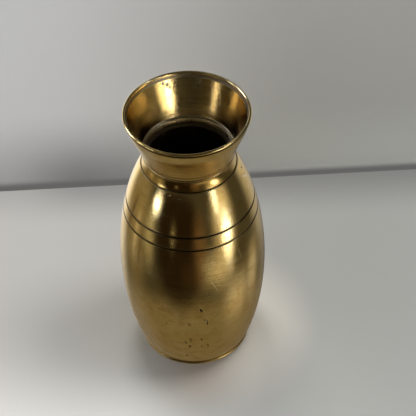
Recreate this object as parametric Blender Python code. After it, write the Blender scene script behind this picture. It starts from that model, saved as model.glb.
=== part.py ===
"""A brass kalash: a water pot turned from cast shells and brazed together.

The pot stands on its base plate with the origin at the bottom centre and +Z up.
Every piece is a closed outline of (radius, height) points turned about the pot's axis.
Lengths below are in millimetres and become metres when a piece is turned.
"""
import math

import bmesh
import bpy

MM = 0.001
SEGMENTS = 48             # flats round a full turn; a multiple of 4 keeps the true width on X and Y
CLEARANCE = 0.3           # brazing clearance between neighbouring pieces

# Driving sizes of the whole pot.
POT_HEIGHT = 208.0
RIM_RADIUS = 42.0
BELLY_RADIUS = 50.8
BELLY_HEIGHT = 77.0       # height of the widest ring
BELLY_HALF_LENGTH = 114.5  # half-length of the ellipse that the body's outline follows
SHOULDER_WALL = 2.2
BELLY_WALL = 2.1

# Heights of the seams, from the floor up.
BASE_SEAM = 2.2
SHOULDER_SEAM = 125.4
NECK_SEAM = 165.4
MOUTH_SEAM = 175.0

# Mouth: a round bead on a flared wall with one soft crease round its outside.
BEAD_RADIUS = 1.0
CREASE_HEIGHT = 194.3
CREASE_RADIUS = 37.5
FLARE_FOOT_RADIUS = 30.9
LEDGE_HEIGHT = 177.9
LEDGE_RADIUS = 30.3
SOCKET_RADIUS = 29.6

# Neck collar: a visible band with a spigot above it and another below.
COLLAR_TOP = 173.0
COLLAR_TOP_RADIUS = 30.2
COLLAR_FOOT_RADIUS = 31.8
THROAT_HEIGHT = 172.8
THROAT_RADIUS = 27.7
BORE_RADIUS = 27.0
LOWER_SPIGOT_END = 157.5

# Shoulder shell: a thick opening above and a tongue below that enters the belly shell.
OPENING_RADIUS = 28.9
OPENING_DEPTH = 4.4
TONGUE_OUTER = 43.6
TONGUE_INNER = 42.0
TONGUE_END = 118.5
GROOVE_HEIGHT = 135.1
GROOVE_HALF_WIDTH = 0.5
GROOVE_DEPTH = 0.4

# Base plate: a disc whose raised centre fits inside the belly shell.
BASE_EDGE_RADIUS = 38.8
BASE_CHAMFER = 0.5
BASE_CENTRE_HEIGHT = 3.8

FILLET = 1.4              # side of a brazing fillet


def belly_radius(height, inset=0.0):
    """Radius of the body's elliptical outline at a height, less an inset for the wall."""
    rise = (height - BELLY_HEIGHT) / BELLY_HALF_LENGTH
    return BELLY_RADIUS * math.sqrt(1.0 - rise * rise) - inset


def belly_curve(start, end, steps, inset=0.0):
    """Points along the body's outline from one height to another, spaced by angle."""
    first = math.asin((start - BELLY_HEIGHT) / BELLY_HALF_LENGTH)
    last = math.asin((end - BELLY_HEIGHT) / BELLY_HALF_LENGTH)
    points = []
    for step in range(steps + 1):
        angle = first + (last - first) * step / steps
        radius = BELLY_RADIUS * math.cos(angle) - inset
        points.append((radius, BELLY_HEIGHT + BELLY_HALF_LENGTH * math.sin(angle)))
    return points


def arc(centre, radius, start, end, steps):
    """Points on an arc in the outline's plane, angles in degrees from straight outwards."""
    points = []
    for step in range(steps + 1):
        angle = math.radians(start + (end - start) * step / steps)
        points.append((centre[0] + radius * math.cos(angle), centre[1] + radius * math.sin(angle)))
    return points


def bowed(start, end, bow, steps):
    """Points from start to end on a shallow arch that bulges outwards by bow (inwards if negative)."""
    points = []
    for step in range(steps + 1):
        along = step / steps
        swell = bow * 4.0 * along * (1.0 - along)
        points.append((start[0] + (end[0] - start[0]) * along + swell,
                       start[1] + (end[1] - start[1]) * along))
    return points


def brass(name, colour, roughness):
    """A metal finish with its own colour and polish."""
    finish = bpy.data.materials.new(name)
    finish.use_nodes = True
    shader = finish.node_tree.nodes["Principled BSDF"]
    shader.inputs["Base Color"].default_value = (*colour, 1.0)
    shader.inputs["Metallic"].default_value = 1.0
    shader.inputs["Roughness"].default_value = roughness
    return finish


def turn(name, outline, finish, axis):
    """Turn an outline about the pot's axis into one solid with its origin at its lowest height."""
    seat = min(height for _, height in outline)
    mesh = bpy.data.meshes.new(name)
    shape = bmesh.new()
    points = [shape.verts.new((radius * MM, 0.0, (height - seat) * MM)) for radius, height in outline]
    edges = [shape.edges.new(pair) for pair in zip(points, points[1:])]
    if outline[0][0] > 0.0:
        edges.append(shape.edges.new((points[-1], points[0])))
    bmesh.ops.spin(shape, geom=points + edges, cent=(0.0, 0.0, 0.0), axis=(0.0, 0.0, 1.0),
                   angle=2.0 * math.pi, steps=SEGMENTS, use_merge=True)
    bmesh.ops.remove_doubles(shape, verts=shape.verts, dist=0.001 * MM)
    bmesh.ops.recalc_face_normals(shape, faces=shape.faces)
    shape.to_mesh(mesh)
    shape.free()
    mesh.shade_smooth()
    mesh.set_sharp_from_angle(angle=math.radians(30.0))
    mesh.materials.append(finish)
    piece = bpy.data.objects.new(name, mesh)
    piece.location.z = seat * MM
    piece.parent = axis
    bpy.context.scene.collection.objects.link(piece)
    return piece


def mouth_flare_outline():
    """The funnel mouth: bead, inner lip, cone, socket for the collar, and the creased outside."""
    bead_centre = (RIM_RADIUS - BEAD_RADIUS, POT_HEIGHT - BEAD_RADIUS)
    bead = arc(bead_centre, BEAD_RADIUS, -60.0, 180.0, 8)
    inner_lip = (39.3, POT_HEIGHT - 3.4)
    inside = [inner_lip, (LEDGE_RADIUS, LEDGE_HEIGHT), (SOCKET_RADIUS, LEDGE_HEIGHT),
              (SOCKET_RADIUS, MOUTH_SEAM)]
    crease = (CREASE_RADIUS, CREASE_HEIGHT)
    band_top = (RIM_RADIUS - 0.9, POT_HEIGHT - 2.6)
    lower_wall = bowed((FLARE_FOOT_RADIUS, MOUTH_SEAM), crease, -0.4, 4)
    upper_band = bowed(crease, band_top, 0.3, 3)
    return bead + inside + lower_wall + upper_band[1:]


def neck_collar_outline():
    """The neck ring: concave outer band, a spigot up into the mouth and one down into the shoulder."""
    upper_spigot = SOCKET_RADIUS - CLEARANCE
    lower_spigot = OPENING_RADIUS - CLEARANCE
    band_foot = (COLLAR_FOOT_RADIUS, NECK_SEAM + CLEARANCE)
    band_top = (COLLAR_TOP_RADIUS, COLLAR_TOP)
    spigot_top = LEDGE_HEIGHT - 0.4
    return [
        (lower_spigot, LOWER_SPIGOT_END),
        (lower_spigot, NECK_SEAM + CLEARANCE),
        *bowed(band_foot, band_top, -0.35, 4),
        (upper_spigot, COLLAR_TOP),
        (upper_spigot, spigot_top),
        (upper_spigot - 0.4, spigot_top),
        (THROAT_RADIUS, THROAT_HEIGHT),
        (BORE_RADIUS, THROAT_HEIGHT - 2.0),
        (BORE_RADIUS, LOWER_SPIGOT_END),
    ]


def shoulder_shell_outline():
    """The upper body: thick opening, thin wall, incised groove and a tongue at its lower edge."""
    foot = SHOULDER_SEAM + CLEARANCE
    below_groove = belly_curve(foot, GROOVE_HEIGHT - GROOVE_HALF_WIDTH, 2)
    groove_floor = (belly_radius(GROOVE_HEIGHT, GROOVE_DEPTH), GROOVE_HEIGHT)
    above_groove = belly_curve(GROOVE_HEIGHT + GROOVE_HALF_WIDTH, NECK_SEAM, 6)
    opening_end = NECK_SEAM - OPENING_DEPTH
    inside = belly_curve(opening_end - 3.0, foot + 6.0, 5, SHOULDER_WALL)
    return [
        (TONGUE_INNER, TONGUE_END),
        (TONGUE_OUTER, TONGUE_END),
        (TONGUE_OUTER, foot),
        *below_groove,
        groove_floor,
        *above_groove,
        (OPENING_RADIUS, NECK_SEAM),
        (OPENING_RADIUS, opening_end),
        (OPENING_RADIUS + 2.3, opening_end - 0.8),
        *inside,
        (TONGUE_INNER, foot + 1.5),
    ]


def belly_shell_outline():
    """The lower body: a thin wall that is open at both ends."""
    foot = BASE_SEAM + CLEARANCE
    outside = belly_curve(foot, BELLY_HEIGHT, 7) + belly_curve(BELLY_HEIGHT, SHOULDER_SEAM, 4)[1:]
    inside = belly_curve(SHOULDER_SEAM, foot, 11, BELLY_WALL)
    return outside + inside


def base_plate_outline():
    """The bottom disc: a chamfered edge and a raised centre that locates it in the belly shell."""
    centre_radius = belly_radius(BASE_SEAM + CLEARANCE, BELLY_WALL) - CLEARANCE
    return [
        (0.0, 0.0),
        (BASE_EDGE_RADIUS - BASE_CHAMFER, 0.0),
        (BASE_EDGE_RADIUS, BASE_CHAMFER),
        (BASE_EDGE_RADIUS, BASE_SEAM),
        (centre_radius, BASE_SEAM),
        (centre_radius, BASE_CENTRE_HEIGHT),
        (0.0, BASE_CENTRE_HEIGHT),
    ]


def mouth_braze_outline():
    """The bead of spelter that shows under the mouth's lower edge, round the collar's spigot."""
    low = COLLAR_TOP + CLEARANCE
    high = MOUTH_SEAM - CLEARANCE
    return [
        (SOCKET_RADIUS, low),
        (FLARE_FOOT_RADIUS - 0.5, low),
        (FLARE_FOOT_RADIUS - 0.1, (low + high) / 2.0),
        (FLARE_FOOT_RADIUS - 0.5, high),
        (SOCKET_RADIUS, high),
    ]


def neck_braze_outline():
    """The fillet inside the shoulder, in the corner under its opening, round the lower spigot."""
    top = NECK_SEAM - OPENING_DEPTH - 1.1
    inner = OPENING_RADIUS
    return [(inner, top - FILLET), (inner + FILLET, top), (inner, top)]


def shoulder_braze_outline():
    """The fillet under the tongue's end, against the inside of the belly shell."""
    top = TONGUE_END - CLEARANCE
    outer = belly_radius(top, BELLY_WALL) - CLEARANCE
    return [(outer - FILLET, top), (outer, top - FILLET), (outer, top)]


def base_braze_outline():
    """The fillet in the bottom corner, on the base plate's centre and against the belly shell."""
    low = BASE_CENTRE_HEIGHT + CLEARANCE
    outer = belly_radius(low, BELLY_WALL) - CLEARANCE
    return [(outer - FILLET, low), (outer, low), (outer, low + FILLET)]


def build_pot():
    """Make every piece, from the mouth down, on one common axis."""
    axis = bpy.data.objects.new("pot_axis", None)
    bpy.context.scene.collection.objects.link(axis)
    turned = (0.74, 0.52, 0.22)
    worn = (0.68, 0.47, 0.20)
    spelter = (0.83, 0.66, 0.34)
    pieces = [
        ("mouth_flare", mouth_flare_outline(), turned, 0.22),
        ("mouth_braze_ring", mouth_braze_outline(), spelter, 0.35),
        ("neck_collar", neck_collar_outline(), turned, 0.24),
        ("neck_braze_ring", neck_braze_outline(), spelter, 0.45),
        ("shoulder_shell", shoulder_shell_outline(), turned, 0.20),
        ("shoulder_braze_ring", shoulder_braze_outline(), spelter, 0.45),
        ("belly_shell", belly_shell_outline(), turned, 0.24),
        ("base_braze_ring", base_braze_outline(), spelter, 0.45),
        ("base_plate", base_plate_outline(), worn, 0.38),
    ]
    for name, outline, colour, roughness in pieces:
        turn(name, outline, brass(name + "_metal", colour, roughness), axis)


for old in list(bpy.data.objects):
    bpy.data.objects.remove(old)
build_pot()
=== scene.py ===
"""Looks of the brass kalash pot: fine turned meshes, procedural metals, a pale corner and soft light.

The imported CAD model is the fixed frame. Every piece here is turned again at a finer step about the
same axis, stands for its CAD node and rides on the one body. Outlines are in millimetres.
"""
import math

import bmesh
import bpy
from mathutils import Matrix, Vector, noise


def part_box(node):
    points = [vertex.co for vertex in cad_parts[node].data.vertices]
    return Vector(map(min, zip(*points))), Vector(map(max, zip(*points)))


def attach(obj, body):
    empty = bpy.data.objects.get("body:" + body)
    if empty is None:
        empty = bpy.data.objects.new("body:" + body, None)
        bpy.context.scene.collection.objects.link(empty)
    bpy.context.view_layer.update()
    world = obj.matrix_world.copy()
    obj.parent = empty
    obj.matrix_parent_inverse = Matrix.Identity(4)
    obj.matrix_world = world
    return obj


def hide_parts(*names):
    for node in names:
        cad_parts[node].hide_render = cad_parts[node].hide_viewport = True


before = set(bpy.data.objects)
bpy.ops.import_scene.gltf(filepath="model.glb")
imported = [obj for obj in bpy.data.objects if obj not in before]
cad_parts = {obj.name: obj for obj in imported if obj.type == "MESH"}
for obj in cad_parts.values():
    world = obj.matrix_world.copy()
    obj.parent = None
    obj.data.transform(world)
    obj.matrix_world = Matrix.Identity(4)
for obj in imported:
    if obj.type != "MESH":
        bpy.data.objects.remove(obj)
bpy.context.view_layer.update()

MM = 0.001
SEGMENTS = 288            # faces round a full turn
CLEARANCE = 0.3           # gap that the CAD keeps between neighbouring pieces
BODY = "root"


def low(node, axis=2):
    """Lowest coordinate of a CAD node in millimetres."""
    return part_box(node)[0][axis] / MM


def high(node, axis=2):
    """Highest coordinate of a CAD node in millimetres."""
    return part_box(node)[1][axis] / MM


# Sizes read from the frame.
POT_HEIGHT = high("mouth_flare")
RIM_RADIUS = high("mouth_flare", 0)
MOUTH_SEAM = low("mouth_flare")
NECK_SEAM = high("shoulder_shell")
SHOULDER_SEAM = high("belly_shell")
BASE_SEAM = low("belly_shell") - CLEARANCE
BELLY_RADIUS = high("belly_shell", 0)
BASE_EDGE_RADIUS = high("base_plate", 0)
BASE_CENTRE_HEIGHT = high("base_plate")
TONGUE_END = low("shoulder_shell")
LOWER_SPIGOT_END = low("neck_collar")
COLLAR_FOOT_RADIUS = high("neck_collar", 0)

# The body's outline is an ellipse about this height.
BELLY_HEIGHT = 77.0
BELLY_HALF_LENGTH = 114.5
SHOULDER_WALL = 2.2
BELLY_WALL = 2.1

# Details of the mouth, the collar and the shoulder, as in the CAD.
BEAD_RADIUS = 1.0
BAND_INSET = 0.9          # the flare's top edge, under the bead, is this far inside the rim
BAND_DROP = 3.1           # and this far below it
UNDERCUT_DEPTH = 0.45     # the groove between that edge and the bead
UNDERCUT_RISE = 0.35
CREASE_HEIGHT = 194.3
CREASE_RADIUS = 37.5
FLARE_FOOT_RADIUS = 30.9
LEDGE_HEIGHT = 177.9
LEDGE_RADIUS = 30.3
SOCKET_RADIUS = 29.6
LIP_RADIUS = 39.3
LIP_HEIGHT = POT_HEIGHT - 3.4
SPIGOT_TOP = LEDGE_HEIGHT - 0.4
SPIGOT_TOP_INSET = 0.4
COLLAR_TOP = 173.0
COLLAR_TOP_RADIUS = 30.2
THROAT_HEIGHT = 172.8
THROAT_RADIUS = 27.7
BORE_DROP = 2.0           # the straight bore starts this far below the throat
BORE_RADIUS = 27.0
OPENING_RADIUS = 28.9
OPENING_DEPTH = 4.4
OPENING_SLOPE = (2.3, 0.8)    # the slope under its thick part: outwards and down
THIN_WALL_TOP = 3.0       # the shoulder's thin wall starts this far below the opening's thick part
THIN_WALL_END = 6.0       # and ends this far above the shoulder's lower edge
TONGUE_SLOPE_END = 1.5    # and the slope from it to the tongue ends this far above that edge
TONGUE_OUTER = 43.6
TONGUE_INNER = 42.0
GROOVE_HEIGHT = 135.1
GROOVE_HALF_WIDTH = 0.5
GROOVE_CENTRE_OUT = 0.1   # the round groove is centred this far outside the body
PLATE_EDGE_RADIUS = 0.6
PLATE_CHAMFER = 0.3
SPELTER_INSET = 0.1       # the mouth's spelter lies this far inside the flare's foot
BRAZE_FILLET = 1.4
FILLET_MIDDLE = 0.4       # share of the fillet's size that its hollow face leaves in the middle

# How far the curves bulge outwards (inwards if negative).
LIP_BOW = 0.05
FLARE_BOW = -0.4
BROW_BOW = 0.3
COLLAR_BOW = -0.35


# ---------------------------------------------------------------- outlines

def belly_radius(height, inset=0.0):
    """Radius of the body's elliptical outline at a height, less an inset for the wall."""
    rise = (height - BELLY_HEIGHT) / BELLY_HALF_LENGTH
    return BELLY_RADIUS * math.sqrt(1.0 - rise * rise) - inset


def belly_curve(start, end, inset=0.0, step=1.2):
    """Points along the body's outline between two heights, about one step apart."""
    first = math.asin((start - BELLY_HEIGHT) / BELLY_HALF_LENGTH)
    last = math.asin((end - BELLY_HEIGHT) / BELLY_HALF_LENGTH)
    count = max(2, round(abs(end - start) / step))
    points = []
    for index in range(count + 1):
        angle = first + (last - first) * index / count
        radius = BELLY_RADIUS * math.cos(angle) - inset
        points.append((radius, BELLY_HEIGHT + BELLY_HALF_LENGTH * math.sin(angle)))
    return points


def arc(centre, radius, start, end, count):
    """Points on an arc in the outline's plane, angles in degrees from straight outwards."""
    points = []
    for index in range(count + 1):
        angle = math.radians(start + (end - start) * index / count)
        points.append((centre[0] + radius * math.cos(angle), centre[1] + radius * math.sin(angle)))
    return points


def bowed(start, end, bow=0.0, step=1.0):
    """Points from start to end on a shallow arch that bulges outwards by bow (inwards if negative)."""
    count = max(2, round(math.dist(start, end) / step))
    points = []
    for index in range(count + 1):
        along = index / count
        swell = bow * 4.0 * along * (1.0 - along)
        points.append((start[0] + (end[0] - start[0]) * along + swell,
                       start[1] + (end[1] - start[1]) * along))
    return points


def eased(before, corner, after, radius=0.25, count=4):
    """A corner rounded by a small curve that starts and ends one radius from it."""
    def towards(point):
        share = min(0.45, radius / math.dist(corner, point))
        return (corner[0] + (point[0] - corner[0]) * share, corner[1] + (point[1] - corner[1]) * share)
    first, last = towards(before), towards(after)
    points = []
    for index in range(count + 1):
        t = index / count
        blend = ((1 - t) ** 2, 2 * t * (1 - t), t ** 2)
        points.append(tuple(sum(b * p[k] for b, p in zip(blend, (first, corner, last))) for k in (0, 1)))
    return points


def ease_corners(outline, radius=0.25, sharpest=25.0):
    """The closed outline with every corner that turns more than the angle rounded."""
    points = []
    count = len(outline)
    for index, corner in enumerate(outline):
        before, after = outline[index - 1], outline[(index + 1) % count]
        one = math.atan2(corner[1] - before[1], corner[0] - before[0])
        two = math.atan2(after[1] - corner[1], after[0] - corner[0])
        turn_angle = abs((math.degrees(two - one) + 180.0) % 360.0 - 180.0)
        points += eased(before, corner, after, radius) if turn_angle > sharpest else [corner]
    return points


def mouth_flare_outline():
    """The funnel mouth: bead, inner lip, cone, socket for the collar, and the creased outside."""
    bead_centre = (RIM_RADIUS - BEAD_RADIUS, POT_HEIGHT - BEAD_RADIUS)
    bead = arc(bead_centre, BEAD_RADIUS, -115.0, 180.0, 28)
    lip = (LIP_RADIUS, LIP_HEIGHT)
    ledge = (LEDGE_RADIUS, LEDGE_HEIGHT)
    crease = (CREASE_RADIUS, CREASE_HEIGHT)
    band_top = (RIM_RADIUS - BAND_INSET, POT_HEIGHT - BAND_DROP)
    undercut = (band_top[0] - UNDERCUT_DEPTH, band_top[1] + UNDERCUT_RISE)
    return ease_corners([
        *bead,
        *bowed(bead[-1], lip, LIP_BOW)[1:],
        *bowed(lip, ledge)[1:],
        (SOCKET_RADIUS, LEDGE_HEIGHT),
        (SOCKET_RADIUS, MOUTH_SEAM),
        *bowed((FLARE_FOOT_RADIUS, MOUTH_SEAM), crease, FLARE_BOW),
        *bowed(crease, band_top, BROW_BOW)[1:],
        undercut,
    ])


def neck_collar_outline():
    """The neck ring: concave outer band, a spigot up into the mouth and one down into the shoulder."""
    upper_spigot = SOCKET_RADIUS - CLEARANCE
    lower_spigot = OPENING_RADIUS - CLEARANCE
    band_foot = (COLLAR_FOOT_RADIUS, NECK_SEAM + CLEARANCE)
    band_top = (COLLAR_TOP_RADIUS, COLLAR_TOP)
    throat = (THROAT_RADIUS, THROAT_HEIGHT)
    return ease_corners([
        (lower_spigot, LOWER_SPIGOT_END),
        (lower_spigot, NECK_SEAM + CLEARANCE),
        *bowed(band_foot, band_top, COLLAR_BOW, step=0.6),
        (upper_spigot, COLLAR_TOP),
        (upper_spigot, SPIGOT_TOP),
        *bowed((upper_spigot - SPIGOT_TOP_INSET, SPIGOT_TOP), throat, COLLAR_BOW, step=0.4),
        (BORE_RADIUS, THROAT_HEIGHT - BORE_DROP),
        (BORE_RADIUS, LOWER_SPIGOT_END),
    ], radius=0.18)


def shoulder_shell_outline():
    """The upper body: thick opening, thin wall, incised groove and a tongue at its lower edge."""
    foot = SHOULDER_SEAM + CLEARANCE
    opening_end = NECK_SEAM - OPENING_DEPTH
    groove_centre = (belly_radius(GROOVE_HEIGHT) + GROOVE_CENTRE_OUT, GROOVE_HEIGHT)
    return ease_corners([
        (TONGUE_INNER, TONGUE_END),
        (TONGUE_OUTER, TONGUE_END),
        (TONGUE_OUTER, foot),
        *belly_curve(foot, GROOVE_HEIGHT - GROOVE_HALF_WIDTH),
        *arc(groove_centre, GROOVE_HALF_WIDTH, 250.0, 110.0, 8),
        *belly_curve(GROOVE_HEIGHT + GROOVE_HALF_WIDTH, NECK_SEAM),
        (OPENING_RADIUS, NECK_SEAM),
        (OPENING_RADIUS, opening_end),
        (OPENING_RADIUS + OPENING_SLOPE[0], opening_end - OPENING_SLOPE[1]),
        *belly_curve(opening_end - THIN_WALL_TOP, foot + THIN_WALL_END, SHOULDER_WALL, step=3.0),
        (TONGUE_INNER, foot + TONGUE_SLOPE_END),
    ])


def belly_shell_outline():
    """The lower body: a thin wall that is open at both ends."""
    foot = BASE_SEAM + CLEARANCE
    return ease_corners([
        *belly_curve(foot, SHOULDER_SEAM),
        *belly_curve(SHOULDER_SEAM, foot, BELLY_WALL, step=4.0),
    ])


def base_plate_outline():
    """The bottom disc: an edge rounded by wear and a raised centre that fits inside the belly shell."""
    centre_radius = belly_radius(BASE_SEAM + CLEARANCE, BELLY_WALL) - CLEARANCE
    edge_centre = (BASE_EDGE_RADIUS - PLATE_EDGE_RADIUS, PLATE_EDGE_RADIUS)
    edge = arc(edge_centre, PLATE_EDGE_RADIUS, -90.0, 0.0, 6)
    centre_edge = (centre_radius, BASE_CENTRE_HEIGHT)
    return [
        *bowed((0.0, 0.0), edge[0], step=2.0)[:-1],
        *edge,
        (BASE_EDGE_RADIUS, BASE_SEAM - PLATE_CHAMFER),
        (BASE_EDGE_RADIUS - PLATE_CHAMFER, BASE_SEAM),
        (centre_radius, BASE_SEAM),
        *bowed(centre_edge, (0.0, BASE_CENTRE_HEIGHT), step=2.0),
    ]


def mouth_braze_outline():
    """The bead of spelter that shows under the mouth's lower edge, round the collar's spigot."""
    bottom, top = COLLAR_TOP + CLEARANCE, MOUTH_SEAM - CLEARANCE
    half = (top - bottom) / 2.0
    bulge = arc((FLARE_FOOT_RADIUS - SPELTER_INSET - half, bottom + half), half, -90.0, 90.0, 10)
    return [(SOCKET_RADIUS, bottom), *bulge, (SOCKET_RADIUS, top)]


def fillet_outline(corner, inwards, upwards):
    """A small hollow-faced fillet of spelter in a corner of two walls."""
    end = (corner[0] + inwards * BRAZE_FILLET, corner[1])
    side = (corner[0], corner[1] + upwards * BRAZE_FILLET)
    middle = (corner[0] + inwards * BRAZE_FILLET * FILLET_MIDDLE,
              corner[1] + upwards * BRAZE_FILLET * FILLET_MIDDLE)
    return [corner, end, middle, side]


def neck_braze_outline():
    """The fillet inside the shoulder, in the corner under its opening, round the lower spigot."""
    return fillet_outline((OPENING_RADIUS, high("neck_braze_ring")), 1.0, -1.0)


def shoulder_braze_outline():
    """The fillet under the tongue's end, against the inside of the belly shell."""
    return fillet_outline((high("shoulder_braze_ring", 0), TONGUE_END - CLEARANCE), -1.0, -1.0)


def base_braze_outline():
    """The fillet in the bottom corner, on the base plate's centre and against the belly shell."""
    corner_radius = belly_radius(BASE_CENTRE_HEIGHT + CLEARANCE, BELLY_WALL) - CLEARANCE
    return fillet_outline((corner_radius, BASE_CENTRE_HEIGHT + CLEARANCE), -1.0, 1.0)


# ---------------------------------------------------------------- unevenness, tarnish with painted shade, and marks

WAVE_DEPTH = 0.06         # hand finishing has left the surface about this uneven
WAVE_LENGTH = 24.0        # size of the largest waves
MARK_MARGIN = 1.0         # finer mesh round each mark
MARK_CUTS = 5             # cuts in each edge there
MARK_SEARCH = 15.0        # degrees or millimetres from a mark's start to the furthest point looked at
MARK_SPREAD = 1.2         # above 1 so that the middle of a mark is flat
SPOT_SPREAD = 1.3         # and of a spot in the mouth is evenly dark
ON_OUTLINE = 0.3          # a point this close to a surface's outline lies on that surface
UNDER_SKIN = 1.0          # a point this deep under the body's outline is on the inner wall
MOUTH_WEAR = 0.32         # how pale hands have rubbed the inside of the mouth
THROAT_WEAR = 0.35        # and the top of the collar's inside
THROAT_SHADE = 0.42       # least painted shade on the collar's inside, from the dark hollow below it
THROAT_FADE = 2.0         # painted shade turns the metal black in this height below the throat

HIDDEN_RINGS = ("neck_braze_ring", "shoulder_braze_ring", "base_braze_ring")

# Dark lines round each piece, tarnish in the seams and grooves with painted shade where they lie in
# shadow:
# height, reach to either side, strength. Above a strength of 1 the black middle of the line grows wider.
DARK_LINES = {
    "mouth_flare": ((POT_HEIGHT - 2.75, 1.2, 1.8), (MOUTH_SEAM, 0.6, 0.9), (LEDGE_HEIGHT, 0.6, 0.7)),
    "neck_collar": ((COLLAR_TOP, 0.9, 0.8), (NECK_SEAM, 1.2, 0.9), (SPIGOT_TOP, 0.7, 0.6)),
    "shoulder_shell": ((NECK_SEAM, 0.7, 0.8), (GROOVE_HEIGHT, 1.05, 1.9), (SHOULDER_SEAM, 0.9, 1.8)),
    "belly_shell": ((SHOULDER_SEAM, 0.7, 1.6), (BASE_SEAM, 0.6, 0.8)),
    "base_plate": ((BASE_SEAM, 0.35, 0.8),),
}

# Marks on the body's outside: piece, half width, depth, darkness, path of (azimuth, height) points.
# Azimuth 0 is the front and + is to the right. A negative darkness is a bright scratch.
MARKS = (
    ("belly_shell", 1.50, 0.35, 1.0, ((4.0, 72.0), (4.5, 71.0))),
    ("belly_shell", 0.70, 0.30, 0.9, ((6.5, 60.5), (8.5, 60.0), (9.5, 57.5), (9.0, 55.0))),
    ("belly_shell", 1.20, 0.12, 0.55, ((-9.5, 34.5), (-9.0, 32.5))),
    ("belly_shell", 1.00, 0.10, 0.40, ((-5.0, 39.5), (-4.5, 35.0))),
    ("belly_shell", 1.40, 0.15, 0.60, ((-6.0, 29.5), (-6.0, 27.5))),
    ("belly_shell", 1.00, 0.15, 0.60, ((4.5, 38.5), (4.5, 36.5))),
    ("belly_shell", 1.00, 0.15, 0.60, ((9.5, 29.0), (10.5, 27.0))),
    ("belly_shell", 0.90, 0.10, 0.45, ((4.5, 28.5), (4.5, 27.0))),
    ("belly_shell", 1.30, 0.12, 0.50, ((-10.0, 14.5), (-10.0, 13.0))),
    ("belly_shell", 1.60, 0.06, 0.35, ((-5.0, 57.0), (-5.0, 55.5))),
    ("belly_shell", 0.45, 0.15, 0.6, ((-24.0, 54.5), (-23.5, 53.5))),
    ("belly_shell", 0.45, 0.15, 0.5, ((27.0, 62.0), (27.5, 61.0))),
    ("belly_shell", 0.40, 0.04, -0.45, ((39.5, 117.0), (41.0, 112.0), (42.5, 106.5))),
    ("belly_shell", 0.28, 0.04, -0.6, ((-38.0, 100.0), (-33.0, 97.5))),
    ("belly_shell", 0.28, 0.04, -0.6, ((14.0, 98.0), (17.5, 90.0))),
    ("shoulder_shell", 0.60, 0.20, 0.8, ((-14.0, 162.5), (-12.5, 162.0))),
    ("shoulder_shell", 0.70, 0.20, 0.8, ((-25.5, 163.0), (-24.0, 163.0))),
    ("shoulder_shell", 0.30, 0.02, -0.3, ((52.5, 151.5), (59.5, 147.5))),
    ("shoulder_shell", 0.30, 0.02, -0.3, ((37.0, 149.5), (42.0, 145.5))),
    ("shoulder_shell", 1.20, 0.10, -0.5, ((77.0, 156.5), (86.0, 152.0))),
    ("shoulder_shell", 0.80, 0.20, 0.9, ((84.0, 160.0), (85.5, 159.5))),
    ("shoulder_shell", 0.30, 0.04, -0.5, ((-52.0, 150.0), (-44.0, 146.5))),
)

# Dark spots inside the mouth: azimuth, height, radius, darkness.
MOUTH_SPOTS = (
    (-157.0, 202.5, 1.9, 0.9),
    (-161.0, 201.0, 2.0, 1.0),
    (-163.5, 199.0, 1.6, 0.9),
    (-157.0, 199.0, 1.3, 0.6),
    (167.0, 202.5, 3.4, 0.8),
    (171.0, 198.0, 2.0, 0.5),
    (140.0, 190.0, 1.1, 0.5),
    (-170.0, 184.0, 1.2, 0.5),
)


def smooth_share(share):
    """A share of 0 to 1, eased at both ends."""
    share = min(1.0, max(0.0, share))
    return share * share * (3.0 - 2.0 * share)


def uneven(point):
    """Millimetres that the surface lies inside its true outline at a point."""
    place = point / WAVE_LENGTH
    wave = noise.noise(place) + 0.35 * noise.noise(place * 2.7) + 0.12 * noise.noise(place * 7.0)
    return WAVE_DEPTH * (1.0 + wave) / 2.0


def is_inside(node, radius, height):
    """True on the walls that the pot's hollow holds."""
    if node in ("shoulder_shell", "belly_shell"):
        return radius < belly_radius(height) - UNDER_SKIN
    return node == "base_plate" and height > BASE_SEAM


def in_throat(node, radius):
    """True on the collar's inside."""
    return node == "neck_collar" and radius < SOCKET_RADIUS - CLEARANCE


def in_mouth(node, radius, height):
    """True inside the mouth, from the ledge up to the bead."""
    rise = height - LEDGE_HEIGHT
    cone = LEDGE_RADIUS + (LIP_RADIUS - LEDGE_RADIUS) * rise / (LIP_HEIGHT - LEDGE_HEIGHT)
    return node == "mouth_flare" and radius < cone + ON_OUTLINE


def tarnish_and_shade_at(node, radius, height):
    """How dark tarnish and painted shade make the metal at a point of the outline, from 0 (clean) to 1."""
    # Inside the hollow pot and on its hidden rings the metal is black, with tarnish and painted shade of
    # the dark inside.
    if is_inside(node, radius, height) or node in HIDDEN_RINGS:
        return 1.0
    stain_and_shade = 0.0
    for line, reach, strength in DARK_LINES.get(node, ()):
        stain_and_shade = max(stain_and_shade, strength * smooth_share(1.0 - abs(height - line) / reach))
    # Painted shade on the collar's inside, turning black towards the pot's dark hollow.
    if in_throat(node, radius):
        stain_and_shade = max(stain_and_shade, THROAT_SHADE, smooth_share((THROAT_HEIGHT - height) / THROAT_FADE))
    return min(1.0, stain_and_shade)


def wear_at(node, radius, height):
    """How far the metal is rubbed pale at a point of the outline, as it is in the mouth and throat."""
    if in_throat(node, radius) and height > THROAT_HEIGHT - THROAT_FADE:
        return THROAT_WEAR
    return MOUTH_WEAR if in_mouth(node, radius, height) else 0.0


def distance_to_path(path, radius, azimuth, height):
    """Millimetres from a point on the outside to a path of (azimuth, height) points."""
    here = Vector((math.radians(azimuth) * radius, height))
    places = [Vector((math.radians(turned) * radius, level)) for turned, level in path]
    nearest = math.inf
    for one, two in zip(places, places[1:]):
        along = (here - one).dot(two - one) / (two - one).length_squared
        nearest = min(nearest, (here - one.lerp(two, min(1.0, max(0.0, along)))).length)
    return nearest


def around(point):
    """Azimuth in degrees and radius and height in millimetres of a mesh point."""
    return math.degrees(math.atan2(point.x, -point.y)), math.hypot(point.x, point.y) / MM, point.z / MM


def near_start(path, azimuth, height):
    """True for a point that is close enough to a mark's start to be measured."""
    return max(abs(height - path[0][1]), abs(azimuth - path[0][0])) <= MARK_SEARCH


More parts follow.
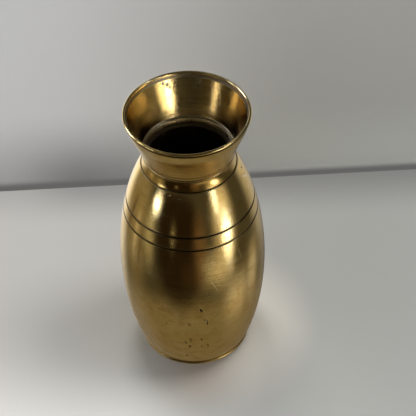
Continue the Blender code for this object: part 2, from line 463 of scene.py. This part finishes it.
def put_on_outline(vertex, dent):
    """Set a point of the body back on its true outline, less the unevenness and a dent."""
    _, radius, height = around(vertex.co)
    wanted = belly_radius(height) - uneven(vertex.co / MM) - dent
    vertex.co.x *= wanted / radius
    vertex.co.y *= wanted / radius


def press_mark(shape, mark, tarnish_and_shade, wear):
    """Cut the mesh finer round one mark, and sink and colour the mark."""
    node, half_width, depth, darkness, path = mark
    near_faces = []
    for face in shape.faces:
        azimuth, radius, height = around(face.calc_center_median())
        if not near_start(path, azimuth, height) or is_inside(node, radius, height):
            continue
        if distance_to_path(path, radius, azimuth, height) < half_width + MARK_MARGIN:
            near_faces.append(face)
    edges = list({edge for face in near_faces for edge in face.edges})
    bmesh.ops.subdivide_edges(shape, edges=edges, cuts=MARK_CUTS, use_grid_fill=True)
    for vertex in shape.verts:
        azimuth, radius, height = around(vertex.co)
        if not near_start(path, azimuth, height) or radius < belly_radius(height) - ON_OUTLINE:
            continue
        distance = distance_to_path(path, radius, azimuth, height)
        if distance > half_width + 2.0 * MARK_MARGIN:
            continue
        share = smooth_share(MARK_SPREAD * (1.0 - distance / half_width))
        put_on_outline(vertex, depth * share)
        if darkness > 0.0:
            vertex[tarnish_and_shade] = max(vertex[tarnish_and_shade], darkness * share)
        else:
            vertex[wear] = max(vertex[wear], -darkness * share)


def spot_mouth(shape, tarnish_and_shade):
    """Darken the spots inside the mouth."""
    for vertex in shape.verts:
        azimuth, radius, height = around(vertex.co)
        if height < LEDGE_HEIGHT or not in_mouth("mouth_flare", radius, height):
            continue
        for turned, level, reach, darkness in MOUTH_SPOTS:
            aside = math.radians((azimuth - turned + 180.0) % 360.0 - 180.0) * radius
            share = smooth_share(SPOT_SPREAD * (1.0 - math.hypot(aside, height - level) / reach))
            vertex[tarnish_and_shade] = max(vertex[tarnish_and_shade], darkness * share)


# ---------------------------------------------------------------- turned meshes

def join_rows(shape, rows, closed):
    """Faces between rows of points, of which a row of one point is a pole on the axis."""
    spans = list(zip(rows, rows[1:]))
    if closed:
        spans.append((rows[-1], rows[0]))
    for one, two in spans:
        for index in range(SEGMENTS):
            after = (index + 1) % SEGMENTS
            if len(one) == 1:
                corners = (one[0], two[after], two[index])
            elif len(two) == 1:
                corners = (one[index], one[after], two[0])
            else:
                corners = (one[index], one[after], two[after], two[index])
            shape.faces.new(corners)


def turn(node, outline, closed=True):
    """Turn an outline about the pot's axis into a smooth mesh, uneven by hand and marked by use.

    Its points know their length along the outline (ring), how dark tarnish and painted shade make them
    and how much they have been rubbed bright (wear).
    """
    shape = bmesh.new()
    ring = shape.verts.layers.float.new("ring")
    tarnish_and_shade = shape.verts.layers.float.new("tarnish_and_shade")
    wear = shape.verts.layers.float.new("wear")
    rows = []
    walked = 0.0
    before = outline[0]
    for radius, height in outline:
        walked += math.dist(before, (radius, height))
        before = (radius, height)
        stain_and_shade = tarnish_and_shade_at(node, radius, height)
        rubbed = wear_at(node, radius, height)
        row = []
        for index in range(SEGMENTS if radius > 0.0 else 1):
            angle = 2.0 * math.pi * index / SEGMENTS
            way = Vector((math.cos(angle), math.sin(angle), 0.0))
            place = way * radius + Vector((0.0, 0.0, height))
            if radius > 0.0:
                place -= way * uneven(place)
            point = shape.verts.new(place * MM)
            point[ring] = walked
            point[tarnish_and_shade] = stain_and_shade
            point[wear] = rubbed
            row.append(point)
        rows.append(row)
    join_rows(shape, rows, closed)
    for mark in MARKS:
        if mark[0] == node:
            press_mark(shape, mark, tarnish_and_shade, wear)
    if node == "mouth_flare":
        spot_mouth(shape, tarnish_and_shade)
    bmesh.ops.recalc_face_normals(shape, faces=shape.faces)
    name = node + "_turned"
    mesh = bpy.data.meshes.new(name)
    shape.to_mesh(mesh)
    shape.free()
    mesh.shade_smooth()
    piece = bpy.data.objects.new(name, mesh)
    bpy.context.scene.collection.objects.link(piece)
    return piece


# ---------------------------------------------------------------- materials

class Nodes:
    """A material's node tree with short ways to add and join nodes."""

    def __init__(self, name):
        self.material = bpy.data.materials.new(name)
        self.material.use_nodes = True
        self.tree = self.material.node_tree
        self.shader = self.tree.nodes["Principled BSDF"]

    def add(self, kind, settings=None, **inputs):
        """A new node; its inputs are values, or sockets to join to them."""
        node = self.tree.nodes.new("ShaderNode" + kind)
        for key, value in (settings or {}).items():
            setattr(node, key, value)
        for key, value in inputs.items():
            self.join(value, node.inputs[key])
        return node

    def join(self, value, socket):
        """Give a socket a value or a link."""
        if isinstance(value, bpy.types.NodeSocket):
            self.tree.links.new(value, socket)
        else:
            socket.default_value = value

    def math(self, operation, one, two=0.0):
        """The result of a Math node."""
        node = self.tree.nodes.new("ShaderNodeMath")
        node.operation = operation
        self.join(one, node.inputs[0])
        self.join(two, node.inputs[1])
        return node.outputs[0]

    def fit(self, value, low_in, high_in, low_out=0.0, high_out=1.0):
        """The value carried smoothly from one range to another."""
        node = self.add("MapRange", {"interpolation_type": "SMOOTHSTEP"})
        for socket, number in zip(node.inputs, (value, low_in, high_in, low_out, high_out)):
            self.join(number, socket)
        return node.outputs[0]

    def mix(self, factor, one, two):
        """A colour between two colours."""
        node = self.tree.nodes.new("ShaderNodeMix")
        node.data_type = "RGBA"
        for socket, value in zip((node.inputs[0], node.inputs[6], node.inputs[7]), (factor, one, two)):
            self.join(value, socket)
        return node.outputs[2]

    def total(self, *values):
        """The sum of values or sockets."""
        so_far = values[0]
        for value in values[1:]:
            so_far = self.math("ADD", so_far, value)
        return so_far

    def times(self, one, two):
        """The product of two values or sockets."""
        return self.math("MULTIPLY", one, two)

    def noise(self, place, scale, detail=3.0):
        """A noise of about 0.5 by object coordinates in metres, or by any other vector."""
        node = self.add("TexNoise", Vector=place, Scale=scale, Detail=detail, Roughness=0.6)
        return node.outputs["Fac"]

    def number(self, name):
        """One of the mesh's point numbers."""
        return self.add("Attribute", {"attribute_name": name}).outputs["Fac"]

    def blend(self, factor, one, two):
        """A shader between two shaders."""
        node = self.tree.nodes.new("ShaderNodeMixShader")
        for socket, value in zip(node.inputs, (factor, one, two)):
            self.join(value, socket)
        return node.outputs[0]

    def surface(self, socket):
        """Make a shader's output the material's surface."""
        self.join(socket, self.tree.nodes["Material Output"].inputs["Surface"])


PALE_BRASS = (0.84, 0.63, 0.26)
BRASS = (0.78, 0.54, 0.18)
BROWNED_BRASS = (0.58, 0.36, 0.09)
# Black of tarnish, and of painted shade in the grooves, the seams and the pot's hollow.
BLACK_TARNISH_AND_SHADE = (0.035, 0.020, 0.010)
RUBBED_BRASS = (0.95, 0.87, 0.66)
SPELTER = (0.80, 0.62, 0.30)

TURNING_SCALE = 1.7       # turning marks per millimetre
TURNING_ROUND = 14.0      # how fast they change round the pot, per metre
BRUSH_FINE = 900.0        # fine upright polishing strokes: how fast they change round the pot, per metre
BRUSH_LONG = 110.0        # and up the pot
CLOUD_SCALE = 42.0        # soft clouds of colour, per metre
BLOTCH_SCALE = 160.0      # blotches of patina
GRAIN_SCALE = 800.0       # the casting's grain
FOOT_FADE = (0.010, 0.085)    # metres up, over which the foot's own look fades out
MOST_PATINA = 0.9         # some of the brass's own colour shows through everywhere
TURNING_BROWN = 0.40      # brown left in the turning marks
GRAIN_BROWN = 0.55        # and in the grain
DIRT_AND_SHADE_ROUGHNESS = 0.35     # added where the metal is black with tarnish and painted shade
WEAR_ROUGHNESS = 0.06
TURNING_RELIEF = 2.0      # depths of the fine marks, against each other
GRAIN_RELIEF = 1.5
BRUSH_RELIEF = 1.5
BUMP_STRENGTH = 0.6
MARK_HEIGHT = 0.00003     # metres that the bump stands for
PULL = 0.35               # anisotropy: the turning marks stretch highlights up and down
PULL_TURN = 0.25          # a quarter turn from the tangent round the pot


def rgba(colour):
    """A colour with its alpha."""
    return (*colour, 1.0)


def drawn_out(nodes, axes, round_scale, along, along_scale):
    """A vector for noise that has one scale round the pot and another along it."""
    across = {axis: nodes.times(axes[axis], round_scale) for axis in ("X", "Y")}
    return nodes.add("CombineXYZ", Z=nodes.times(along, along_scale), **across).outputs["Vector"]


def metal_patterns(nodes):
    """The patterns that a turned metal's colour, roughness and relief are made from."""
    place = nodes.add("TexCoord").outputs["Object"]
    axes = nodes.add("SeparateXYZ", Vector=place).outputs
    rings = drawn_out(nodes, axes, TURNING_ROUND, nodes.number("ring"), TURNING_SCALE)
    strokes = drawn_out(nodes, axes, BRUSH_FINE, axes["Z"], BRUSH_LONG)
    blotch = nodes.noise(place, BLOTCH_SCALE, 4.0)
    return {
        "turned": nodes.noise(rings, 1.0, 4.0),
        "brushed": nodes.noise(strokes, 1.0),
        "cloud": nodes.noise(place, CLOUD_SCALE, 4.0),
        "blotch": blotch,
        "grain": nodes.noise(place, GRAIN_SCALE),
        "foot": nodes.fit(axes["Z"], *FOOT_FADE, 1.0, 0.0),
        "dirt_and_shade": nodes.times(nodes.number("tarnish_and_shade"), nodes.fit(blotch, 0.2, 0.5, 0.75, 1.0)),
        "wear": nodes.number("wear"),
    }


def metal_colour(nodes, seen, light, brown, browning, foot_browning, turning):
    """Clouded brass with brown patina, brown in the turning marks and grain, black tarnish with painted
    shade, and bright rubs.
    """
    patina = nodes.total(nodes.times(nodes.fit(seen["blotch"], 0.42, 0.72), browning),
                         nodes.times(seen["foot"], foot_browning))
    browned = nodes.times(nodes.fit(seen["turned"], 0.55, 0.78), TURNING_BROWN * turning)
    colour = nodes.mix(nodes.fit(seen["cloud"], 0.35, 0.68), rgba(light), rgba(brown))
    colour = nodes.mix(nodes.math("MINIMUM", patina, MOST_PATINA), colour, rgba(BROWNED_BRASS))
    colour = nodes.mix(browned, colour, rgba(BROWNED_BRASS))
    colour = nodes.mix(nodes.fit(seen["grain"], 0.50, 0.85, 0.0, GRAIN_BROWN), colour, rgba(BROWNED_BRASS))
    colour = nodes.mix(seen["dirt_and_shade"], colour, rgba(BLACK_TARNISH_AND_SHADE))
    return nodes.mix(seen["wear"], colour, rgba(RUBBED_BRASS))


def metal_roughness(nodes, seen, roughness, foot_roughness, turning):
    """The piece's own roughness, with what the foot, patina, turning, tarnish with painted shade, and wear
    add to it.
    """
    return nodes.total(
        roughness,
        nodes.times(seen["foot"], foot_roughness),
        nodes.fit(seen["blotch"], 0.3, 0.7, -0.02, 0.06),
        nodes.times(nodes.fit(seen["turned"], 0.35, 0.75, -0.02, 0.07), turning),
        nodes.times(seen["dirt_and_shade"], DIRT_AND_SHADE_ROUGHNESS),
        nodes.times(seen["wear"], WEAR_ROUGHNESS),
    )


def metal_relief(nodes, seen, turning):
    """The fine relief of turning marks, grain and polishing strokes."""
    height = nodes.total(
        nodes.times(seen["turned"], TURNING_RELIEF * turning),
        nodes.times(seen["grain"], GRAIN_RELIEF),
        nodes.times(seen["brushed"], BRUSH_RELIEF),
    )
    bump = nodes.add("Bump", Height=height, Distance=MARK_HEIGHT, Strength=BUMP_STRENGTH)
    return bump.outputs["Normal"]


def turned_metal(name, light, brown, roughness, browning, foot=(0.0, 0.0), turning=1.0):
    """Turned brass: clouded colour, fine rings from the lathe, brown patina, black tarnish with painted
    shade, and rubbed scratches.

    foot is the extra roughness and extra browning at the pot's foot, which fade out upwards.
    """
    nodes = Nodes(name)
    seen = metal_patterns(nodes)
    tangent = nodes.add("Tangent", {"direction_type": "RADIAL", "axis": "Z"})
    settings = {
        "Base Color": metal_colour(nodes, seen, light, brown, browning, foot[1], turning),
        "Metallic": 1.0,
        "Roughness": metal_roughness(nodes, seen, roughness, foot[0], turning),
        "Normal": metal_relief(nodes, seen, turning),
        "Anisotropic": PULL,
        "Anisotropic Rotation": PULL_TURN,
        "Tangent": tangent.outputs["Tangent"],
    }
    for key, value in settings.items():
        nodes.join(value, nodes.shader.inputs[key])
    return nodes.material


def mouth_brass(name):
    """The mouth: the palest and best polished brass, rubbed by hands and by the coconut."""
    return turned_metal(name, PALE_BRASS, BRASS, 0.08, browning=0.25)


def neck_brass(name):
    """The neck: turned brass with brown left in its hollows."""
    return turned_metal(name, BRASS, BROWNED_BRASS, 0.13, browning=0.6)


def body_brass(name):
    """The body: polished above, and satin and browner towards the foot."""
    return turned_metal(name, PALE_BRASS, BRASS, 0.11, browning=0.35, foot=(0.12, 0.35))


def base_brass(name):
    """The base plate: worn, duller brass."""
    return turned_metal(name, BRASS, BROWNED_BRASS, 0.30, browning=0.5)


def smoothed_spelter(name):
    """Spelter that shows on the outside, turned smooth with the brass."""
    return turned_metal(name, SPELTER, BROWNED_BRASS, 0.30, browning=0.8)


def frozen_spelter(name):
    """Spelter inside the pot, dull and lumpy as it froze."""
    return turned_metal(name, SPELTER, BROWNED_BRASS, 0.42, browning=0.8, turning=0.0)


# ---------------------------------------------------------------- pieces

# Each node's outline and metal.
PIECES = {
    "mouth_flare": (mouth_flare_outline, mouth_brass),
    "mouth_braze_ring": (mouth_braze_outline, smoothed_spelter),
    "neck_collar": (neck_collar_outline, neck_brass),
    "neck_braze_ring": (neck_braze_outline, frozen_spelter),
    "shoulder_shell": (shoulder_shell_outline, body_brass),
    "shoulder_braze_ring": (shoulder_braze_outline, frozen_spelter),
    "belly_shell": (belly_shell_outline, body_brass),
    "base_braze_ring": (base_braze_outline, frozen_spelter),
    "base_plate": (base_plate_outline, base_brass),
}


def make_pieces():
    """Turn every piece, give it its metal and let it stand for its CAD node."""
    for node, (outline, metal) in PIECES.items():
        piece = turn(node, outline(), closed=node != "base_plate")
        piece.data.materials.append(metal(node + "_metal"))
        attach(piece, BODY)
        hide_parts(node)


# ---------------------------------------------------------------- camera

CAMERA_BACK = 0.747       # metres from the pot's axis
CAMERA_HEIGHT = 0.8565    # metres above the floor
CAMERA_PAN = 0.9          # degrees to the right of the axis
CAMERA_TILT = 44.6        # degrees below level
CAMERA_ROLL = -1.75
CAMERA_SENSOR = 36.0      # millimetres
CAMERA_LENS = 132.3


def make_camera():
    """The camera stands in front of the pot and looks down at it."""
    data = bpy.data.cameras.new("camera")
    data.lens = CAMERA_LENS
    data.sensor_width = CAMERA_SENSOR
    data.clip_start = 0.01
    camera = bpy.data.objects.new("camera", data)
    camera.matrix_world = (
        Matrix.Translation((0.0, -CAMERA_BACK, CAMERA_HEIGHT))
        @ Matrix.Rotation(math.radians(-CAMERA_PAN), 4, "Z")
        @ Matrix.Rotation(math.radians(90.0 - CAMERA_TILT), 4, "X")
        @ Matrix.Rotation(math.radians(CAMERA_ROLL), 4, "Z")
    )
    bpy.context.scene.collection.objects.link(camera)
    bpy.context.scene.camera = camera


# ---------------------------------------------------------------- surroundings that only the metal sees

ROOM_CENTRE = 0.10        # height that the cards are turned about
ROOM_RADIUS = 4.0         # metres to the furthest card
CARD_GAP = 0.03           # metres from each card to the next nearer one
CARD_STEPS = 24
CARD_SQUARENESS = 2.5     # 2 is an ellipse; the higher, the squarer


def glow_paint(name, colour, strength):
    """Light of one colour, as strong as the mesh's glow attribute and clear where that is none."""
    nodes = Nodes(name)
    nodes.tree.nodes.remove(nodes.shader)
    light = nodes.add("Emission", Color=rgba(colour), Strength=strength)
    clear = nodes.add("BsdfTransparent")
    nodes.surface(nodes.blend(nodes.number("glow"), clear.outputs[0], light.outputs[0]))
    return nodes.material


def hang_card(name, shape, colour, strength):
    """Make a card's shape a staged object that nothing but the metal's reflections sees."""
    mesh = bpy.data.meshes.new(name)
    shape.to_mesh(mesh)
    shape.free()
    mesh.materials.append(glow_paint(name, colour, strength))
    thing = bpy.data.objects.new(name, mesh)
    bpy.context.scene.collection.objects.link(thing)
    thing.visible_camera = False
    thing.visible_diffuse = False
    thing.visible_shadow = False
    thing.visible_transmission = False
    thing.visible_volume_scatter = False


def on_sphere(radius, turned, raised):
    """The point of a sphere round the room's centre at two angles in radians."""
    level = radius * math.cos(raised)
    return (level * math.sin(turned), -level * math.cos(turned), radius * math.sin(raised) + ROOM_CENTRE)


def card(name, order, azimuth, elevation, width, height, strength, colour, tilt, soft):
    """A soft-edged card on the room's sphere. Azimuth 0 is towards the camera and + is to the right.

    Its angles are in degrees, and soft is the share of its half width over which it fades in.
    """
    shape = bmesh.new()
    glow = shape.verts.layers.float.new("glow")
    lean = math.radians(tilt)
    radius = ROOM_RADIUS - CARD_GAP * order
    grid = []
    for row in range(CARD_STEPS + 1):
        line = []
        for column in range(CARD_STEPS + 1):
            u = 2.0 * column / CARD_STEPS - 1.0
            v = 2.0 * row / CARD_STEPS - 1.0
            across, up = u * width / 2.0, v * height / 2.0
            turned = math.radians(azimuth + across * math.cos(lean) - up * math.sin(lean))
            raised = math.radians(elevation + across * math.sin(lean) + up * math.cos(lean))
            point = shape.verts.new(on_sphere(radius, turned, raised))
            edge = (abs(u) ** CARD_SQUARENESS + abs(v) ** CARD_SQUARENESS) ** (1.0 / CARD_SQUARENESS)
            point[glow] = smooth_share((1.0 - edge) / soft)
            line.append(point)
        grid.append(line)
    for one, two in zip(grid, grid[1:]):
        for index in range(CARD_STEPS):
            shape.faces.new((one[index], one[index + 1], two[index + 1], two[index]))
    hang_card(name, shape, colour, strength)


WARM = (1.0, 0.92, 0.80)
COOL = (0.84, 0.92, 1.0)
BLEACHED = (0.86, 0.95, 1.25)
OLIVE = (1.0, 0.94, 0.74)
GOLDEN = (1.0, 0.88, 0.62)
BROWN = (1.0, 0.66, 0.40)
PLAIN = (1.0, 0.98, 0.94)


def make_cards():
    """The windows, walls and screens that the brass mirrors, from the furthest to the nearest."""
    # name, azimuth, elevation, width, height, strength, colour, tilt, soft
    cards = [
        ("back_left", -154, -14, 88, 90, 1.40, PLAIN, 0, 0.7),
        ("back_right", 146, -14, 92, 80, 0.56, PLAIN, 0, 0.7),
        ("left_wall", -104, -18, 76, 70, 0.26, GOLDEN, 0, 0.6),
        ("right_wall", 88, -14, 50, 64, 0.065, OLIVE, 0, 0.5),
        ("floor_left", -120, -58, 100, 30, 0.26, WARM, 0, 0.9),
        ("floor_right", 72, -48, 66, 24, 0.56, WARM, 0, 0.9),
        ("floor_far_right", 104, -43, 40, 22, 0.50, WARM, 0, 0.9),
        ("photographer", -22, -19, 82, 72, 0.018, BROWN, 0, 0.30),
        ("photographer_hand", -6, -34, 36, 12, 0.05, BROWN, 0, 0.9),
        ("photographer_arm", 12, -22, 30, 56, 0.15, BROWN, 0, 0.9),
        ("left_glow", -70, -22, 26, 36, 0.42, OLIVE, 0, 0.9),
        ("left_window", -62, -4, 20, 11, 7.0, BLEACHED, 20, 0.6),
        ("sliver", -30, -16, 6, 14, 0.5, OLIVE, 0, 0.9),
        ("low_glow", 38, -33, 66, 22, 0.62, WARM, 0, 0.9),
        ("low_olive", 20, -43, 40, 10, 0.05, OLIVE, 6, 0.7),
        ("right_glow", 54, -8, 54, 66, 1.05, WARM, -10, 1.0),
        ("right_window", 45, 4, 16, 30, 2.6, BLEACHED, 0, 0.6),
        ("right_window_low", 56, -20, 23, 28, 5.0, BLEACHED, -30, 0.8),
        ("right_streak", 130, -20, 34, 8, 0.6, WARM, -30, 0.9),
        ("left_line", -112, -26, 34, 5, 0.07, BROWN, 48, 0.8),
        ("left_streak", -97, -28, 30, 9, 0.55, WARM, 56, 0.8),
        ("left_line_front", -88, -32, 26, 4, 0.07, BROWN, 56, 0.8),
        ("high_back", 176, 36, 150, 44, 0.04, COOL, 0, 0.3),
        ("high_left", -115, 30, 30, 26, 11.0, BLEACHED, 0, 0.4),
        ("high_left_edge", -87, 30, 10, 26, 7.0, COOL, 0, 0.5),
        ("high_front", 0, 30, 110, 30, 0.03, COOL, 0, 0.6),
        ("high_right", 70, 34, 20, 14, 9.0, BLEACHED, 5, 0.8),
        ("high_streak", -50, 32, 62, 6, 1.6, COOL, -12, 0.9),
        ("high_back_left", -165, 52, 34, 14, 1.5, COOL, 0, 0.8),
        ("high_back_right", 120, 58, 84, 12, 1.5, COOL, 0, 0.8),
    ]
    for order, (name, *look) in enumerate(cards):
        card("card_" + name, order, *look)


FLOOR_CARD_DROP = 4.6     # metres below the room's centre, beyond every other card
FLOOR_CARD_SIDES = 64
FLOOR_CARD_ROWS = (0.5, 0.7, 0.8, 0.85, 0.9, 0.95, 1.0)    # shares of its radius
FLOOR_CARD_SOFT = 0.2     # share of its radius over which its edge fades out
FLOOR_CARD_STRENGTH = 0.215


def make_floor_card():
    """The pale floor as the brass sees it: everything that lies more than 45 degrees below level."""
    shape = bmesh.new()
    glow = shape.verts.layers.float.new("glow")
    centre = shape.verts.new((0.0, 0.0, ROOM_CENTRE - FLOOR_CARD_DROP))
    centre[glow] = 1.0
    rows = []
    for share in FLOOR_CARD_ROWS:
        row = []
        for index in range(FLOOR_CARD_SIDES):
            angle = 2.0 * math.pi * index / FLOOR_CARD_SIDES
            radius = FLOOR_CARD_DROP * share
            point = shape.verts.new((radius * math.cos(angle), radius * math.sin(angle), centre.co.z))
            point[glow] = smooth_share((1.0 - share) / FLOOR_CARD_SOFT)
            row.append(point)
        rows.append(row)
    for index in range(FLOOR_CARD_SIDES):
        after = (index + 1) % FLOOR_CARD_SIDES
        shape.faces.new((centre, rows[0][index], rows[0][after]))
        for one, two in zip(rows, rows[1:]):
            shape.faces.new((one[index], two[index], two[after], one[after]))
    hang_card("card_floor", shape, GOLDEN, FLOOR_CARD_STRENGTH)


# ---------------------------------------------------------------- stage

WALL_BACK = 0.159         # metres from the pot's axis to the wall
WALL_TURN = 1.0           # degrees that the wall is turned out of square
WALL_LIFT = 0.0001        # metres between the floor and the wall's foot
COVE = 0.006              # radius of the corner between floor and wall
STAGE_SIZE = 6.0          # metres from the middle to each side
# Floor colours with painted light: lit on the left and most at the front left, shaded on the right.
FLOOR_LIT_LEFT = (0.52, 0.515, 0.50)
FLOOR_SHADED_RIGHT = (0.37, 0.375, 0.36)
FLOOR_LIT_FRONT_LEFT = (0.96, 0.955, 0.93)
FLOOR_SHADED_FRONT_RIGHT = (0.44, 0.445, 0.43)
# Painted warm shadow in front of the pot's foot, and painted light from the brass on the floor to its
# right.
PAINTED_WARM_SHADOW = (0.46, 0.36, 0.27)
PAINTED_BRASS_LIGHT = (0.84, 0.79, 0.70)
# Wall colours with painted light and shade: lit high on the left, shaded high on the right, a painted
# shadow low on the left by the pot, and painted bounce light low on the right.
WALL_LIT_HIGH_LEFT = (0.86, 0.87, 0.90)
WALL_SHADED_HIGH_RIGHT = (0.62, 0.62, 0.60)
WALL_LOW_EDGE = (0.60, 0.60, 0.615)
WALL_SHADOW_LOW_LEFT = (0.35, 0.35, 0.365)
WALL_BOUNCE_LIT_LOW_RIGHT = (0.76, 0.77, 0.74)
CORNER_SHADE = (0.13, 0.13, 0.128)

# Where one colour turns into the next, in metres from the pot's axis: + is right, back or up.
FLOOR_ACROSS = (-0.16, 0.16)
FLOOR_FRONT = (-0.16, 0.02)
SHADE_BACK = (0.105, WALL_BACK)
SHADE_LEFT = (-0.15, -0.08)
FOOT_PAINT_REACH = (0.050, 0.095)
FOOT_PAINT_START = (-0.045, 0.0)
FOOT_PAINT_TURN = (0.0, 0.045)
WALL_ACROSS = (-0.12, 0.12)
WALL_EDGE = (-0.16, -0.08)
WALL_UP = (0.0, 0.08)
CORNER_UP = (0.0005, 0.0065)

# How strong the wall's painted shade on the floor and the painted shadow and light round the pot's foot
# are at most.
SHADE = 0.6
SHADE_AT_LEFT = 0.5
FOOT_PAINT_MOST = 0.5


def matt(nodes, colour):
    """Make a material matt and of one colour, or of a colour worked out by its nodes."""
    nodes.join(colour, nodes.shader.inputs["Base Color"])
    nodes.shader.inputs["Roughness"].default_value = 0.9
    nodes.shader.inputs["Specular IOR Level"].default_value = 0.0


def floor_paint():
    """The plain pale surface that the pot stands on, with painted light and shade: lighter to the front
    left, painted shade along the wall, and a painted warm shadow and painted brass light round its foot.
    """
    nodes = Nodes("floor_paint")
    place = nodes.add("TexCoord").outputs["Object"]
    axes = nodes.add("SeparateXYZ", Vector=place).outputs
    # Painted light: lighter to the left and most at the front left, shaded to the right.
    across = nodes.fit(axes["X"], *FLOOR_ACROSS)
    middle = nodes.mix(across, rgba(FLOOR_LIT_LEFT), rgba(FLOOR_SHADED_RIGHT))
    front = nodes.mix(across, rgba(FLOOR_LIT_FRONT_LEFT), rgba(FLOOR_SHADED_FRONT_RIGHT))
    paint = nodes.mix(nodes.fit(axes["Y"], *FLOOR_FRONT), front, middle)
    distance = nodes.add("VectorMath", {"operation": "LENGTH"}, Vector=place).outputs["Value"]
    # Painted warm shadow in front of the foot, and painted light that the brass throws to its right.
    foot_paint = nodes.times(nodes.fit(distance, *FOOT_PAINT_REACH, FOOT_PAINT_MOST, 0.0), nodes.fit(axes["X"], *FOOT_PAINT_START))
    glow = nodes.mix(nodes.fit(axes["X"], *FOOT_PAINT_TURN), rgba(PAINTED_WARM_SHADOW), rgba(PAINTED_BRASS_LIGHT))
    shade = nodes.times(nodes.fit(axes["Y"], *SHADE_BACK, 0.0, SHADE),
                        nodes.fit(axes["X"], *SHADE_LEFT, SHADE_AT_LEFT, 1.0))
    matt(nodes, nodes.mix(shade, nodes.mix(foot_paint, paint, glow), rgba(CORNER_SHADE)))
    return nodes.material


def wall_paint():
    """Pale wall with painted light and shade: painted shade in the corner with the floor, a painted shadow
    low on the left by the pot, lit high on the left and shaded high on the right, painted bounce light low
    on the right, and clear from behind.
    """
    nodes = Nodes("wall_paint")
    axes = nodes.add("SeparateXYZ", Vector=nodes.add("TexCoord").outputs["Object"]).outputs
    height = nodes.fit(axes["Z"], *WALL_UP)
    # Painted light and shade: a painted shadow low on the left by the pot, lit high on the left, shaded
    # high on the right, painted bounce light low on the right.
    low_left_shadow = nodes.mix(nodes.fit(axes["X"], *WALL_EDGE), rgba(WALL_LOW_EDGE), rgba(WALL_SHADOW_LOW_LEFT))
    left = nodes.mix(height, low_left_shadow, rgba(WALL_LIT_HIGH_LEFT))
    right = nodes.mix(height, rgba(WALL_BOUNCE_LIT_LOW_RIGHT), rgba(WALL_SHADED_HIGH_RIGHT))
    upright = nodes.mix(nodes.fit(axes["X"], *WALL_ACROSS), left, right)
    matt(nodes, nodes.mix(nodes.fit(axes["Z"], *CORNER_UP), rgba(CORNER_SHADE), upright))
    behind = nodes.add("NewGeometry").outputs["Backfacing"]
    clear = nodes.add("BsdfTransparent").outputs[0]
    nodes.surface(nodes.blend(behind, nodes.shader.outputs[0], clear))
    return nodes.material


def sheet(name, outline, material):
    """A staged sheet that is as wide as the stage and follows an outline of (y, z) points."""
    mesh = bpy.data.meshes.new(name)
    corners = [(side * STAGE_SIZE, y, z) for y, z in outline for side in (-1.0, 1.0)]
    faces = [(2 * row, 2 * row + 1, 2 * row + 3, 2 * row + 2) for row in range(len(outline) - 1)]
    mesh.from_pydata(corners, [], faces)
    mesh.shade_smooth()
    mesh.materials.append(material)
    thing = bpy.data.objects.new(name, mesh)
    bpy.context.scene.collection.objects.link(thing)
    thing.visible_glossy = False
    return thing


def make_stage():
    """The pale floor, and the pale wall with its hollow corner, which is seen only from the front."""
    sheet("floor", [(-STAGE_SIZE, 0.0), (STAGE_SIZE, 0.0)], floor_paint())
    corner = arc((-COVE, COVE), COVE, -90.0, 0.0, 8)
    outline = [(y, z + WALL_LIFT) for y, z in corner] + [(0.0, STAGE_SIZE)]
    wall = sheet("wall", outline, wall_paint())
    wall.location.y = WALL_BACK
    wall.rotation_euler.z = math.radians(WALL_TURN)
    wall.visible_shadow = False
    wall.visible_diffuse = False


def area_light(name, place, size, power, colour):
    """A square soft light aimed at the pot's foot, which the metal doesn't mirror."""
    data = bpy.data.lights.new(name, "AREA")
    data.size = size
    data.energy = power
    data.color = colour
    light = bpy.data.objects.new(name, data)
    light.location = place
    light.rotation_euler = (-Vector(place)).to_track_quat("-Z", "Y").to_euler()
    light.visible_glossy = False
    bpy.context.scene.collection.objects.link(light)


# name, place, size, power, colour
LIGHTS = (
    ("left_daylight", (-0.80, -1.00, 1.00), 1.30, 4.5, (0.98, 0.99, 1.00)),
    ("right_daylight", (0.42, 0.06, 1.25), 0.32, 5.9, (1.00, 0.99, 0.97)),
    ("back_daylight", (-0.14, 0.42, 1.25), 0.32, 5.2, (1.00, 0.98, 0.95)),
)
GENERAL_LIGHT = (0.345, 0.345, 0.34)
ROOM_IN_METAL = (0.06, 0.056, 0.045)    # what the metal mirrors between the cards


def make_lights():
    """Soft daylight from the left front, from high on the right and behind, and a general pale light."""
    for light in LIGHTS:
        area_light(*light)
    world = bpy.data.worlds.new("world")
    world.use_nodes = True
    tree = world.node_tree
    general = tree.nodes["Background"]
    general.inputs["Color"].default_value = rgba(GENERAL_LIGHT)
    room = tree.nodes.new("ShaderNodeBackground")
    room.inputs["Color"].default_value = rgba(ROOM_IN_METAL)
    path = tree.nodes.new("ShaderNodeLightPath")
    blend = tree.nodes.new("ShaderNodeMixShader")
    tree.links.new(path.outputs["Is Glossy Ray"], blend.inputs[0])
    tree.links.new(general.outputs[0], blend.inputs[1])
    tree.links.new(room.outputs[0], blend.inputs[2])
    tree.links.new(blend.outputs[0], tree.nodes["World Output"].inputs["Surface"])
    bpy.context.scene.world = world
    bpy.context.scene.view_settings.view_transform = "Standard"


make_pieces()
make_camera()
make_cards()
make_floor_card()
make_stage()
make_lights()
